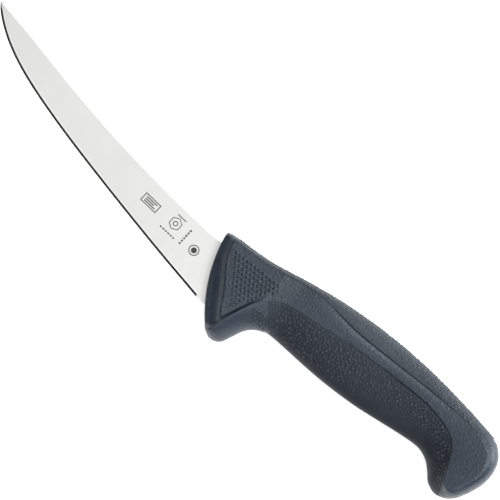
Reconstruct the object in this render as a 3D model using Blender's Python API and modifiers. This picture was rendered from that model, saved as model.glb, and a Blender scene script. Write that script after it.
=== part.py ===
"""Curved boning knife: a ground steel blade in a handle moulded from two plastics.

The knife lies on its right flank. +X runs from the blade's tip to the butt, +Y from the edge
towards the spine, and +Z up out of the left flank. The origin is on the surface that the knife
lies on, under the middle of its box.

Every plan point below is in millimetres from the blade's tip: (towards the butt, towards the
spine). Heights are millimetres from the knife's middle plane. Each piece is one half, on the
left side of that plane, and a Mirror modifier makes the other half.
"""
import math

import bmesh
import bpy
import numpy as np

MM = 0.001

# Overall box
LENGTH = 293.6
SPINE_TOP = 11.7
LOBE_BOTTOM = -43.7
HALF_THICK = 11.0
GAP = 0.3  # between pieces that touch on the real knife

# Handle plan: four rails from the guard's front to the end of the butt
BUTT_END = (291.6, -15.3)
BUTT_EYE = (286.6, -13.4)  # where the two seams' lines meet, one edge rounding in from the end
SPINE_RAIL = [
    (139.4, -4.8), (143.0, -3.8), (151.0, -3.1), (163.0, -1.2), (175.0, 2.1), (187.0, 5.2),
    (199.0, 7.7), (215.0, 10.1), (231.0, 11.4), (247.0, 11.7), (263.0, 11.1), (275.0, 10.2),
    (284.0, 9.1), (288.4, 6.7), (291.5, 3.1), (293.3, -2.0), (293.5, -8.1), BUTT_END,
]
UPPER_SEAM = [
    (139.4, -6.8), (144.5, -6.0), (154.0, -4.7), (164.5, -3.0), (172.0, -0.8), (180.0, 1.3),
    (190.0, 2.5), (209.0, 2.1), (230.0, 3.7), (252.0, 5.7), (272.0, 6.0), (280.0, 4.6),
    (284.6, 2.4), (287.4, -1.6), (288.3, -7.6), BUTT_EYE,
]
LOWER_SEAM = [
    (160.6, -41.9), (162.9, -38.0), (164.0, -32.5), (165.6, -26.8), (168.4, -19.4),
    (171.5, -14.9), (176.0, -11.5), (182.0, -9.1), (199.0, -6.0), (220.0, -2.7), (243.0, -0.2),
    (252.0, 0.3), (260.0, -0.4), (267.0, -2.2), (271.6, -5.4), (274.8, -10.0), (277.6, -15.6),
    (279.7, -19.3), (282.2, -20.0), (285.0, -17.8), BUTT_EYE,
]
BELLY_RAIL = [
    (164.2, -43.6), (167.1, -43.1), (169.7, -41.0), (171.5, -36.5), (173.3, -31.7),
    (175.7, -28.4), (179.1, -26.1), (184.0, -24.7), (205.0, -24.1), (217.0, -23.3),
    (231.0, -21.5), (247.0, -18.3), (257.0, -16.4), (263.0, -16.0), (268.1, -17.6),
    (272.2, -20.7), (275.6, -23.8), (280.5, -25.4), (285.1, -24.2), (288.8, -20.8), BUTT_END,
]
RAIL_LENGTH = 166.0  # of a handle rail, on average
FRONT_BOW = 3.0  # how far the guard's front bulges past its chord
FRONT_NORMAL = (-0.857, -0.515)
BOW_REACH = 0.15  # the bulge fades over this share of the handle's length

# Handle thickness: half of it along the knife, and the shapes cut into the flanks. A SPAN is
# where something begins and ends: along the handle as a share of a rail's length, or across a
# flank as a share of the way from the upper seam to the lower one.
FLANK_HEIGHTS = [
    (139.0, 11.1), (165.0, 11.1), (173.0, 10.5), (180.0, 10.1), (190.0, 10.4), (200.0, 10.5),
    (215.0, 9.9), (230.0, 9.2), (245.0, 8.8), (256.0, 8.7), (263.0, 8.8), (270.0, 9.1),
    (276.0, 9.6), (282.0, 10.3), (287.0, 10.9), (294.0, 11.6),
]
PAD_HEIGHT = 10.8  # the flat pinch pad on each side of the guard
PAD_END = 176.0
CREST_ACROSS = 0.35  # where the flank is highest, between the two seams
LOWER_LEANS = [  # how far the lower seam lies below that crest, along the knife
    (139.0, 0.1), (176.0, 0.1), (188.0, 0.35), (204.0, 0.9), (235.0, 0.9), (250.0, 0.6),
    (262.0, 0.35), (294.0, 0.3),
]
UPPER_SHARE = 0.33  # how far the upper seam does, as a share of that
LEAN_END_SPAN = (0.85, 1.0)
LIP_DROPS = (3.2, 4.5)  # the guard thins to a lip round the blade, by its spine and by its lobe
COVE_WIDTHS = (4.8, 8.0)  # how far back from the lip the hollow reaches, in the same two places
COVE_WIDENS = (0.1, 0.65)
COVE_STEEPEST = 0.8  # share of the hollow's width where it climbs fastest
LIP_ROUNDING = 1.2
LOBE_ROUNDING = 5.0  # the finger lobe's ridge rises from the lip over this length
RIDGE_ACROSS = (0.93, 1.0)
VALLEY_DEPTH = 2.0  # the hollow above the lower seam, beside the pad
VALLEY_ACROSS = (0.68, 0.95)
VALLEY_SPAN = (0.08, 0.18)
# How far a side stays up before it falls: 2 is an ellipse's quarter, less falls away sooner
SPINE_FULLNESS = 3.0
NOTCH_FULLNESS = 1.2
NOTCH_TO_PALM_SPAN = (0.1, 0.3)
PALM_FULLNESS = 1.15
PALM_TO_BUTT_SPAN = (0.85, 0.98)
BUTT_FULLNESS = 2.0

# Soft grips
SPINE_GRIP_SPAN = (0.03, 0.835)
BELLY_GRIP_SPAN = (0.19, 0.905)
GRIP_DEPTH = 2.2
GRIP_DEPTH_LEAST = 0.9
GRIP_DEPTH_SHARE = 0.55  # of the width that the grip has in plan

# Blade and tang
BLADE_SPINE = [
    (0.0, 0.0), (20.0, -2.2), (45.0, -5.6), (70.0, -8.3), (95.0, -9.9), (118.0, -10.6),
    (140.0, -10.2), (158.0, -8.6), (176.0, -5.2), (204.0, -1.0), (230.0, 1.4), (252.0, 1.8),
]
BLADE_EDGE = [
    (0.0, 0.0), (1.3, -1.8), (4.1, -4.3), (9.0, -7.6), (16.0, -11.3), (26.0, -15.1),
    (40.0, -18.8), (60.0, -22.7), (85.0, -26.6), (115.0, -30.7), (140.0, -33.6),
    (152.0, -34.5), (157.5, -31.5), (162.0, -23.5), (172.0, -17.0), (204.0, -12.2),
    (230.0, -9.4), (252.0, -8.4),
]
SPINE_THICKNESS = [(0.0, 0.35), (20.0, 0.6), (70.0, 0.9), (120.0, 1.1), (252.0, 1.1)]
EDGE_THICKNESS = [(0.0, 0.2), (140.0, 0.32), (152.0, 0.45), (170.0, 1.1), (252.0, 1.1)]
BEVEL_WIDTH = 1.0
BEVEL_SHARE = 0.3  # of the blade's width, near the tip
BEVEL_END = 146.9
PLUNGE = 1.5  # the bevel runs out over this length
TIP_THINNING = 3.0  # the steel thins to nothing where the blade is narrower than this
TANG_HOLES = [(186.0, -9.2, 3.5), (214.0, -5.6, 3.5), (240.0, -3.6, 3.0)]  # x, y, radius

PEG_LENGTH = 8.0
POCKET_START = 0.4  # share of the blade's length, well in front of the guard

# Mesh fineness
RAIL_STEPS = 16
HANDLE_ROWS = 44
HANDLE_FRONT_ROWS = [0.0, 0.002, 0.005, 0.009, 0.016, 0.024, 0.034, 0.046]
HANDLE_MIDDLE_SPAN = (0.06, 0.93)
HANDLE_END_ROWS = [0.945, 0.96, 0.975, 0.988, 1.0]
BLADE_ROWS = 48
BLADE_TIP_ROWS = [0.0, 0.0035, 0.009]
PEG_SIDES = 24
SPINE_CUTS = [0.0, 0.03, 0.12, 0.27, 0.47, 0.72, 1.0]
BELLY_CUTS = [1.0 - s for s in reversed(SPINE_CUTS)]
FLANK_CUTS = [0.0, 0.16, 0.34, 0.52, 0.68, 0.8, 0.9, 0.96, 1.0]
SMOOTH_ANGLE = math.radians(35)
WELD = 1e-7  # metres

# Materials: base colour, roughness, metallic
STEEL = ((0.80, 0.80, 0.79), 0.3, 1.0)
HARD_PLASTIC = ((0.024, 0.033, 0.048), 0.4, 0.0)
SOFT_GRIP = ((0.014, 0.019, 0.027), 0.55, 0.0)


def smooth_path(points):
    """A dense Catmull-Rom path through the given points."""
    p = np.array(points, float)
    p = np.vstack([2 * p[0] - p[1], p, 2 * p[-1] - p[-2]])
    t = np.linspace(0, 1, RAIL_STEPS, endpoint=False)[:, None]
    path = []
    for a, b, c, d in zip(p, p[1:], p[2:], p[3:]):
        cubic = (2 * a - 5 * b + 4 * c - d) * t**2 + (3 * b - a - 3 * c + d) * t**3
        path.append(b + 0.5 * ((c - a) * t + cubic))
    path.append(p[-2:-1])
    return np.vstack(path)


def rail(points):
    """A function from a share of the rail's length, 0 to 1, to its plan point."""
    path = smooth_path(points)
    steps = np.hypot(*np.diff(path, axis=0).T)
    along = np.concatenate([[0], np.cumsum(steps)]) / steps.sum()

    def at(u):
        return np.array([np.interp(u, along, path[:, 0]), np.interp(u, along, path[:, 1])])

    return at


def profile(points):
    """A function from a place along the knife to a smoothly varying value there."""
    path = smooth_path(points)
    return lambda x: float(np.interp(x, path[:, 0], path[:, 1]))


def smoothstep(low, high, x):
    t = min(max((x - low) / (high - low), 0.0), 1.0)
    return t * t * (3 - 2 * t)


spine_at = rail(SPINE_RAIL)
upper_at = rail(UPPER_SEAM)
lower_at = rail(LOWER_SEAM)
belly_at = rail(BELLY_RAIL)
flank_height = profile(FLANK_HEIGHTS)
lower_lean = profile(LOWER_LEANS)
spine_thickness = profile(SPINE_THICKNESS)
edge_thickness = profile(EDGE_THICKNESS)


def round_over(x):
    """A quarter circle: 0 at the edge, 1 from one radius in."""
    return math.sqrt(max(1 - (1 - min(x, 1.0)) ** 2, 0.0))


def rounding_drop(u, radius):
    """How much a rounded edge of this radius takes off behind the guard's front."""
    return radius * (1 - round_over(u * RAIL_LENGTH / radius))


def cove_drop(u, s):
    """How far the guard's hollow front lies below the pad: flat at the lip, then ever steeper."""
    wide = smoothstep(*COVE_WIDENS, s)
    depth = LIP_DROPS[0] + (LIP_DROPS[1] - LIP_DROPS[0]) * wide
    width = COVE_WIDTHS[0] + (COVE_WIDTHS[1] - COVE_WIDTHS[0]) * wide
    t = min(u * RAIL_LENGTH / width, 1.0)
    if t < COVE_STEEPEST:
        rise = t**2 / COVE_STEEPEST
    else:
        rise = 1 - (1 - t) ** 2 / (1 - COVE_STEEPEST)
    return depth * (1 - rise) + rounding_drop(u, LIP_ROUNDING)


def lean_drop(u, s, x):
    """How far the flank falls away from its crest, towards each seam."""
    upper = UPPER_SHARE * max(1 - s / CREST_ACROSS, 0) ** 2
    lower = max((s - CREST_ACROSS) / (1 - CREST_ACROSS), 0) ** 2
    return (upper + lower) * lower_lean(x) * (1 - smoothstep(*LEAN_END_SPAN, u))


def flank_point(u, s):
    """A point between the upper seam, s = 0, and the lower one, s = 1."""
    x, y = upper_at(u) * (1 - s) + lower_at(u) * s
    bow = FRONT_BOW * 4 * s * (1 - s) * max(1 - u / BOW_REACH, 0) ** 2
    x, y = x + FRONT_NORMAL[0] * bow, y + FRONT_NORMAL[1] * bow
    ridge = smoothstep(*RIDGE_ACROSS, s)
    valley = VALLEY_DEPTH * (1 - smoothstep(*VALLEY_SPAN, u)) * smoothstep(*VALLEY_ACROSS, s)
    drop = (cove_drop(u, s) + valley) * (1 - ridge) + rounding_drop(u, LOBE_ROUNDING) * ridge
    most = PAD_HEIGHT if x < PAD_END else HALF_THICK
    height = min(flank_height(x) - lean_drop(u, s, x), most)
    return np.array([x, y, max(height - drop, 0.0)])


def shoulder(u, s):
    """The height of the flank at a seam, where a grip's or the guard's round side begins."""
    return flank_point(u, s)[2]


def fullness_towards_butt(u, fullness):
    """A side's fullness, which both sides of the butt share where they meet."""
    return fullness + (BUTT_FULLNESS - fullness) * smoothstep(*PALM_TO_BUTT_SPAN, u)


def spine_point(u, s, depth=0.0):
    """A point from the spine's middle, s = 0, to the upper seam, s = 1, depth below the skin."""
    outer, seam = spine_at(u), upper_at(u)
    width = max(float(np.hypot(*(seam - outer))), 1e-6)
    share = depth / width + (1 - depth / width) * s
    full = fullness_towards_butt(u, SPINE_FULLNESS)
    height = (shoulder(u, 0.0) - depth) * (1 - (1 - s) ** full) ** (1 / full)
    return np.array([*(outer + (seam - outer) * share), max(height, 0.0)])


def belly_fullness(u):
    to_palm = smoothstep(*NOTCH_TO_PALM_SPAN, u)
    palm = NOTCH_FULLNESS + (PALM_FULLNESS - NOTCH_FULLNESS) * to_palm
    return fullness_towards_butt(u, palm)


def belly_point(u, s, depth=0.0):
    """A point from the lower seam, s = 0, to the belly's middle, s = 1, depth below the skin."""
    outer, seam = belly_at(u), lower_at(u)
    width = max(float(np.hypot(*(seam - outer))), 1e-6)
    share = (1 - depth / width) * s
    fullness = belly_fullness(u)
    height = (shoulder(u, 1.0) - depth) * math.sqrt(1 - s**fullness)
    return np.array([*(seam + (outer - seam) * share), max(height, 0.0)])


def grip_depth(u, outer_at, seam_at):
    """How deep a grip's bed is: less where the grip is narrow."""
    width = float(np.hypot(*(seam_at(u) - outer_at(u))))
    return min(max(GRIP_DEPTH_SHARE * width, GRIP_DEPTH_LEAST), GRIP_DEPTH)


def spine_depth(u):
    return grip_depth(u, spine_at, upper_at)


def belly_depth(u):
    return grip_depth(u, belly_at, lower_at)


def add_patch(bm, rows):
    """Quads between rows of points."""
    made = [[bm.verts.new(p * MM) for p in row] for row in rows]
    for a, b in zip(made, made[1:]):
        for k in range(len(a) - 1):
            bm.faces.new((a[k], b[k], b[k + 1], a[k + 1]))


def finish_mesh(bm, name):
    """Weld the patches, drop what a weld left flat, and turn the faces out."""
    bmesh.ops.remove_doubles(bm, verts=bm.verts, dist=WELD)
    bmesh.ops.dissolve_degenerate(bm, edges=bm.edges, dist=WELD)
    bmesh.ops.recalc_face_normals(bm, faces=bm.faces)
    mesh = bpy.data.meshes.new(name)
    bm.to_mesh(mesh)
    bm.free()
    mesh.shade_smooth()
    mesh.set_sharp_from_angle(angle=SMOOTH_ANGLE)
    return mesh


def add_object(mesh, collection, parent):
    obj = bpy.data.objects.new(mesh.name, mesh)
    collection.objects.link(obj)
    obj.parent = parent
    return obj


def add_mirror(obj):
    mirror = obj.modifiers.new("other_side", "MIRROR")
    mirror.use_axis = (False, False, True)
    mirror.merge_threshold = 1e-5


def add_cut(obj, cutter):
    cut = obj.modifiers.new("cut_" + cutter.name, "BOOLEAN")
    cut.operation = "DIFFERENCE"
    cut.object = cutter


def add_material(obj, colour, roughness, metallic):
    material = bpy.data.materials.new(obj.name)
    material.use_nodes = True
    shader = material.node_tree.nodes["Principled BSDF"]
    shader.inputs["Base Color"].default_value = (*colour, 1.0)
    shader.inputs["Roughness"].default_value = roughness
    shader.inputs["Metallic"].default_value = metallic
    obj.data.materials.append(material)


def handle_rows():
    """Stations along the handle, closer at both ends, with one at each end of each grip."""
    middle = list(np.linspace(*HANDLE_MIDDLE_SPAN, HANDLE_ROWS))
    every = HANDLE_FRONT_ROWS + middle + HANDLE_END_ROWS
    stops = [*SPINE_GRIP_SPAN, *BELLY_GRIP_SPAN]
    near = (middle[1] - middle[0]) / 3
    rows = [u for u in every if all(abs(u - stop) > near for stop in stops)]
    return sorted(rows + stops)


def within(span, u):
    return span[0] <= u <= span[1]


def make_core(collection, parent):
    """The handle's core: its skin, the beds of the two grips, and the guard's front face."""
    rows = handle_rows()
    bm = bmesh.new()
    add_patch(bm, [[flank_point(u, s) for s in FLANK_CUTS] for u in rows])
    zones = [
        (spine_point, SPINE_CUTS, SPINE_GRIP_SPAN, spine_depth, 1.0),
        (belly_point, BELLY_CUTS, BELLY_GRIP_SPAN, belly_depth, 0.0),
    ]
    for point, cuts, span, depth, seam in zones:
        before = [u for u in rows if u <= span[0]]
        bed = [u for u in rows if within(span, u)]
        after = [u for u in rows if u >= span[1]]
        add_patch(bm, [[point(u, s) for s in cuts] for u in before])
        add_patch(bm, [[point(u, s, depth(u)) for s in cuts] for u in bed])
        add_patch(bm, [[point(u, s) for s in cuts] for u in after])
        for u in span:
            add_patch(bm, [[point(u, s), point(u, s, depth(u))] for s in cuts])
        add_patch(bm, [[point(u, seam), point(u, seam, depth(u))] for u in bed])
    lip = [spine_point(0.0, s) for s in SPINE_CUTS]
    lip += [flank_point(0.0, s) for s in FLANK_CUTS]
    lip += [belly_point(0.0, s) for s in BELLY_CUTS]
    add_patch(bm, [[p, p * [1, 1, 0]] for p in lip])
    core = add_object(finish_mesh(bm, "handle_core"), collection, parent)
    add_mirror(core)
    add_material(core, *HARD_PLASTIC)
    return core


def shift_inwards(row, neighbour):
    """A grip's end row, moved by the gap, square to itself, towards the row beside it."""
    along = (row[-1] - row[0]) * [1, 1, 0]
    square = np.array([-along[1], along[0], 0.0]) / np.linalg.norm(along)
    if np.dot(square, neighbour[len(row) // 2] - row[len(row) // 2]) < 0:
        square = -square
    return [p + square * GAP for p in row]


def grip_skin(point, cuts, rows, depth, seam):
    """The rows of a grip's face, `depth(u)` below the handle's skin, a gap short of the seam."""
    skin = []
    for u in rows:
        row = [point(u, s, depth(u)) for s in cuts]
        edge = cuts.index(seam)
        inwards = (row[edge - 1 if edge else 1] - row[edge]) * [1, 1, 0]
        row[edge] = row[edge] + inwards / np.linalg.norm(inwards) * GAP
        skin.append(row)
    first, last = shift_inwards(skin[0], skin[1]), shift_inwards(skin[-1], skin[-2])
    return [first, *skin[1:-1], last]


def make_grip(name, point, cuts, span, depth, seam, collection, parent):
    """A soft grip: an even skin over its bed, a gap short of the bed's walls."""
    rows = [u for u in handle_rows() if within(span, u)]
    outer = grip_skin(point, cuts, rows, lambda u: 0.0, seam)
    inner = grip_skin(point, cuts, rows, lambda u: depth(u) - GAP, seam)
    edge = cuts.index(seam)
    bm = bmesh.new()
    add_patch(bm, outer)
    add_patch(bm, inner)
    add_patch(bm, [[a[edge], b[edge]] for a, b in zip(outer, inner)])
    for k in (0, -1):
        add_patch(bm, list(zip(outer[k], inner[k])))
    grip = add_object(finish_mesh(bm, name), collection, parent)
    add_mirror(grip)
    add_material(grip, *SOFT_GRIP)
    return grip


def blade_section(u, spine, edge, grow):
    """One station of the half blade, from the middle plane over the cheek to the edge."""
    top, low = spine(u), edge(u)
    across = low - top
    width = float(np.hypot(*across))
    inward = across / max(width, 1e-6)
    top, low = top - inward * grow, low + inward * grow
    bevel = low - inward * min(BEVEL_WIDTH, BEVEL_SHARE * width)
    thinning = round_over(width / TIP_THINNING)
    thick_top = spine_thickness(top[0]) * thinning + grow
    thick_low = edge_thickness(low[0]) * thinning + grow
    blunt = 1.0 if grow else smoothstep(BEVEL_END, BEVEL_END + PLUNGE, low[0])
    return [
        np.array([*top, 0.0]),
        np.array([*top, thick_top]),
        np.array([*bevel, thick_low]),
        np.array([*low, thick_low * blunt]),
        np.array([*low, 0.0]),
    ]


def blade_mesh(name, first, grow):
    """The half blade and tang from station `first` on, grown all round by `grow`."""
    spine, edge = rail(BLADE_SPINE), rail(BLADE_EDGE)
    rows = [u for u in np.linspace(0, 1, BLADE_ROWS) if u > first]
    if first == 0.0:
        rows = [*BLADE_TIP_ROWS, *rows]
    sections = [blade_section(u, spine, edge, grow) for u in rows]
    bm = bmesh.new()
    add_patch(bm, sections)
    for section in (sections[0], sections[-1]):
        if np.ptp(section, axis=0).max() > 0:
            bm.faces.new([bm.verts.new(p * MM) for p in section])
    return finish_mesh(bm, name)


def add_pegs(name, trim, collection, parent):
    """Round rods through the tang's holes, thinner than the holes by `trim` all round."""
    bm = bmesh.new()
    for x, y, radius in TANG_HOLES:
        made = bmesh.ops.create_cone(
            bm, cap_ends=True, segments=PEG_SIDES, radius1=(radius - trim) * MM,
            radius2=(radius - trim) * MM, depth=PEG_LENGTH * MM,
        )
        bmesh.ops.translate(bm, verts=made["verts"], vec=(x * MM, y * MM, 0.0))
    return hide_cutter(add_object(finish_mesh(bm, name), collection, parent))


def hide_cutter(obj):
    obj.hide_render = True
    obj.display_type = "WIRE"
    return obj


def make_blade(collection, cutters, parent):
    blade = add_object(blade_mesh("blade", 0.0, 0.0), collection, parent)
    add_mirror(blade)
    add_cut(blade, add_pegs("tang_hole_drill", 0.0, cutters, parent))
    add_material(blade, *STEEL)
    return blade


def cut_tang_pocket(core, cutters, parent):
    """The core's pocket for the tang, with a peg of the core left through each hole."""
    pocket = hide_cutter(add_object(blade_mesh("tang_pocket", POCKET_START, GAP), cutters, parent))
    add_mirror(pocket)
    add_cut(pocket, add_pegs("tang_pegs", GAP, cutters, parent))
    add_cut(core, pocket)


def main():
    for obj in list(bpy.data.objects):
        bpy.data.objects.remove(obj)
    knife = bpy.data.collections.new("boning_knife")
    cutters = bpy.data.collections.new("cutters")
    for collection in (knife, cutters):
        bpy.context.scene.collection.children.link(collection)
    middle = bpy.data.objects.new("middle_plane", None)
    knife.objects.link(middle)
    middle.location = (-LENGTH / 2 * MM, -(SPINE_TOP + LOBE_BOTTOM) / 2 * MM, HALF_THICK * MM)

    make_blade(knife, cutters, middle)
    core = make_core(knife, middle)
    cut_tang_pocket(core, cutters, middle)
    make_grip(
        "spine_grip", spine_point, SPINE_CUTS, SPINE_GRIP_SPAN, spine_depth, 1.0, knife, middle
    )
    make_grip(
        "belly_grip", belly_point, BELLY_CUTS, BELLY_GRIP_SPAN, belly_depth, 0.0, knife, middle
    )


main()
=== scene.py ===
"""The looks of the curved boning knife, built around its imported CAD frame.

The shape repeats the CAD's own rails and profiles, at a much finer mesh, and adds what the CAD
leaves out: rounded seams, the guard's raised dots, the grips' pebbled skin, a taper-ground
blade with a narrow bevel, and plain etched marks.

Plan points are in millimetres from the blade's tip: (towards the butt, towards the spine).
Heights are millimetres from the knife's middle plane. `place` turns both into the frame's
metres, and finds the tip on the CAD blade.
"""
import math
from collections import namedtuple

import bmesh
import bpy
import numpy as np
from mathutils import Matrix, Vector
from mathutils.bvhtree import BVHTree
from mathutils.kdtree import KDTree


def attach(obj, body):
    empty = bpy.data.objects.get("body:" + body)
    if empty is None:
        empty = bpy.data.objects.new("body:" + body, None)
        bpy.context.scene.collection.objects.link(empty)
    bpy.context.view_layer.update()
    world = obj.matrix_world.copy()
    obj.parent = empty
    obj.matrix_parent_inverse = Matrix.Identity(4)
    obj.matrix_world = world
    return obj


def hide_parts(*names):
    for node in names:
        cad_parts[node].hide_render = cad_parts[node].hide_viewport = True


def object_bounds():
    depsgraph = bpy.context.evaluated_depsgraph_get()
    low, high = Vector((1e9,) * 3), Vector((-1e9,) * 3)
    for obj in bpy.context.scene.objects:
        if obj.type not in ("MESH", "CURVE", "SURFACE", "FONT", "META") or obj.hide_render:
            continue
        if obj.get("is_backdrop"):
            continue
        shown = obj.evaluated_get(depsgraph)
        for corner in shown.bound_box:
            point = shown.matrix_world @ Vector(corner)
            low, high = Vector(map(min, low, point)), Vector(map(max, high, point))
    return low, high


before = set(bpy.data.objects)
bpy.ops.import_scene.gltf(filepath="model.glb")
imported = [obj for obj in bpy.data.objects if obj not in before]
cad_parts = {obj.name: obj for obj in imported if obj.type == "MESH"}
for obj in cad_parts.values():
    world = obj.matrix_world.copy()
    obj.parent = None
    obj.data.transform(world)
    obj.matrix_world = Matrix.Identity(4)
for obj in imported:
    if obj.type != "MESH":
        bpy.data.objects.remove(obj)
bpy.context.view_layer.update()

MM = 0.001
TIP = np.array(min((v.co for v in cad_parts["blade"].data.vertices), key=lambda p: p.x))

# ---------------------------------------------------------------- the CAD's rails and profiles
BUTT_END = (291.6, -15.3)
BUTT_EYE = (286.6, -13.4)
SPINE_RAIL = [
    (139.4, -4.8), (143.0, -3.8), (151.0, -3.1), (163.0, -1.2), (175.0, 2.1), (187.0, 5.2),
    (199.0, 7.7), (215.0, 10.1), (231.0, 11.4), (247.0, 11.7), (263.0, 11.1), (275.0, 10.2),
    (284.0, 9.1), (288.4, 6.7), (291.5, 3.1), (293.3, -2.0), (293.5, -8.1), BUTT_END,
]
UPPER_SEAM = [
    (139.4, -6.8), (144.5, -6.0), (154.0, -4.7), (164.5, -3.0), (172.0, -0.8), (180.0, 1.3),
    (190.0, 2.5), (209.0, 2.1), (230.0, 3.7), (252.0, 5.7), (272.0, 6.0), (280.0, 4.6),
    (284.6, 2.4), (287.4, -1.6), (288.3, -7.6), BUTT_EYE,
]
LOWER_SEAM = [
    (160.6, -41.9), (162.9, -38.0), (164.0, -32.5), (165.6, -26.8), (168.4, -19.4),
    (171.5, -14.9), (176.0, -11.5), (182.0, -9.1), (199.0, -6.0), (220.0, -2.7), (243.0, -0.2),
    (252.0, 0.3), (260.0, -0.4), (267.0, -2.2), (271.6, -5.4), (274.8, -10.0), (277.6, -15.6),
    (279.7, -19.3), (282.2, -20.0), (285.0, -17.8), BUTT_EYE,
]
BELLY_RAIL = [
    (164.2, -43.6), (167.1, -43.1), (169.7, -41.0), (171.5, -36.5), (173.3, -31.7),
    (175.7, -28.4), (179.1, -26.1), (184.0, -24.7), (205.0, -24.1), (217.0, -23.3),
    (231.0, -21.5), (247.0, -18.3), (257.0, -16.4), (263.0, -16.0), (268.1, -17.6),
    (272.2, -20.7), (275.6, -23.8), (280.5, -25.4), (285.1, -24.2), (288.8, -20.8), BUTT_END,
]
RAIL_LENGTH = 166.0
FRONT_BOW = 3.0
FRONT_NORMAL = np.array([-0.857, -0.515])
BOW_REACH = 0.15

FLANK_HEIGHTS = [
    (139.0, 11.1), (165.0, 11.1), (173.0, 10.5), (180.0, 10.1), (190.0, 10.4), (200.0, 10.5),
    (215.0, 9.9), (230.0, 9.2), (245.0, 8.8), (256.0, 8.7), (263.0, 8.8), (270.0, 9.1),
    (276.0, 9.6), (282.0, 10.3), (287.0, 10.9), (294.0, 11.6),
]
PAD_HEIGHT = 10.8
PAD_END = 176.0
HALF_THICK = 11.0
CREST_ACROSS = 0.35
LOWER_LEANS = [
    (139.0, 0.1), (176.0, 0.1), (188.0, 0.35), (204.0, 0.9), (235.0, 0.9), (250.0, 0.6),
    (262.0, 0.35), (294.0, 0.3),
]
UPPER_SHARE = 0.33
LEAN_END_SPAN = (0.85, 1.0)
LIP_DROPS = (3.2, 4.5)
COVE_WIDTHS = (4.8, 8.0)
COVE_WIDENS = (0.1, 0.65)
COVE_STEEPEST = 0.8
LIP_ROUNDING = 1.2
LOBE_ROUNDING = 5.0
RIDGE_ACROSS = (0.93, 1.0)
VALLEY_DEPTH = 2.0
VALLEY_ACROSS = (0.68, 0.95)
VALLEY_SPAN = (0.08, 0.18)
SPINE_FULLNESS = 3.0
NOTCH_FULLNESS = 1.2
NOTCH_TO_PALM_SPAN = (0.1, 0.3)
PALM_FULLNESS = 1.15
PALM_TO_BUTT_SPAN = (0.85, 0.98)
BUTT_FULLNESS = 2.0

SPINE_GRIP_SPAN = (0.03, 0.835)
BELLY_GRIP_SPAN = (0.19, 0.905)
GRIP_DEPTH = 2.2
GRIP_DEPTH_LEAST = 0.9
GRIP_DEPTH_SHARE = 0.55

BLADE_SPINE = [
    (0.0, 0.0), (20.0, -2.2), (45.0, -5.6), (70.0, -8.3), (95.0, -9.9), (118.0, -10.6),
    (140.0, -10.2), (158.0, -8.6), (176.0, -5.2), (204.0, -1.0), (230.0, 1.4), (252.0, 1.8),
]
BLADE_EDGE = [
    (0.0, 0.0), (1.3, -1.8), (4.1, -4.3), (9.0, -7.6), (16.0, -11.3), (26.0, -15.1),
    (40.0, -18.8), (60.0, -22.7), (85.0, -26.6), (115.0, -30.7), (140.0, -33.6),
    (152.0, -34.5), (157.5, -31.5), (162.0, -23.5), (172.0, -17.0), (204.0, -12.2),
    (230.0, -9.4), (252.0, -8.4),
]
SPINE_THICKNESS = [(0.0, 0.35), (20.0, 0.6), (70.0, 0.9), (120.0, 1.1), (252.0, 1.1)]
EDGE_THICKNESS = [(0.0, 0.2), (140.0, 0.32), (152.0, 0.45), (170.0, 1.1), (252.0, 1.1)]
BEVEL_WIDTH = 1.0
BEVEL_SHARE = 0.3
BEVEL_END = 146.9
PLUNGE = 1.5
TIP_THINNING = 3.0
TANG_HOLES = [(186.0, -9.2, 3.5), (214.0, -5.6, 3.5), (240.0, -3.6, 3.0)]
PEG_LENGTH = 8.0
PEG_SIDES = 48
POCKET_START = 0.4
POCKET_GAP = 0.3

# ---------------------------------------------------------------- what the looks add
RAIL_STEPS = 48

SEAM_GAP = 0.22  # between a grip and the core, where the seam shows
SEAM_GAP_LEAST = 0.01
SEAM_ROUNDING = 0.25  # of a grip's edge
CORE_ROUNDING = 0.4  # of the core's edge beside it
# How much of its gap and rounding each seam has along the knife
UPPER_SEAM_SHOWS = [
    (139.0, 0.15), (190.0, 0.2), (202.0, 0.9), (208.0, 1.0), (250.0, 1.0), (262.0, 0.2),
    (275.0, 0.15), (281.0, 0.0), (294.0, 0.0),
]
LOWER_SEAM_SHOWS = [
    (160.0, 0.0), (176.0, 0.1), (225.0, 0.25), (245.0, 0.9), (275.0, 1.0), (279.0, 0.3),
    (281.0, 0.0), (294.0, 0.0),
]
SHARP_ANGLE = 35
POCKET_ROWS = 60

# The pinch pad's raised dots: a slanted lattice whose columns get shorter towards the band
DOT_START = np.array([148.1, -8.7])
DOT_COLUMN_STEP = np.array([2.08, 0.17])
DOT_ROW_STEP = np.array([1.37, -1.77])
DOT_COLUMNS = 12
DOT_ROWS = 11.4
DOT_ROWS_LOST = 0.83  # per column
DOT_RADIUS = 0.76
DOT_HEIGHT = 0.48
BORDER_DOT_SIZE = 0.5  # of a full dot, in the column at the pad's front border
DOT_SIDES = 16
NOTCH_DOT_START = np.array([170.6, -21.0])
NOTCH_COLUMN_STEP = 0.75 * DOT_COLUMN_STEP
NOTCH_ROW_STEP = 0.8 * DOT_ROW_STEP
NOTCH_DOT_COLUMNS = 4
NOTCH_DOT_ROWS = 4
NOTCH_DOT_SIZE = 0.85

# The grips' pebbled skin
PEBBLE_TRIES = 16000
PEBBLE_POWER = 1.2
# Each grip's pebbles: the least spacing, the radii and the heights
SPINE_PEBBLES = (1.2, (0.45, 0.8), (0.16, 0.4))
BELLY_PEBBLES = (1.3, (0.45, 0.8), (0.1, 0.34))
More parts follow.
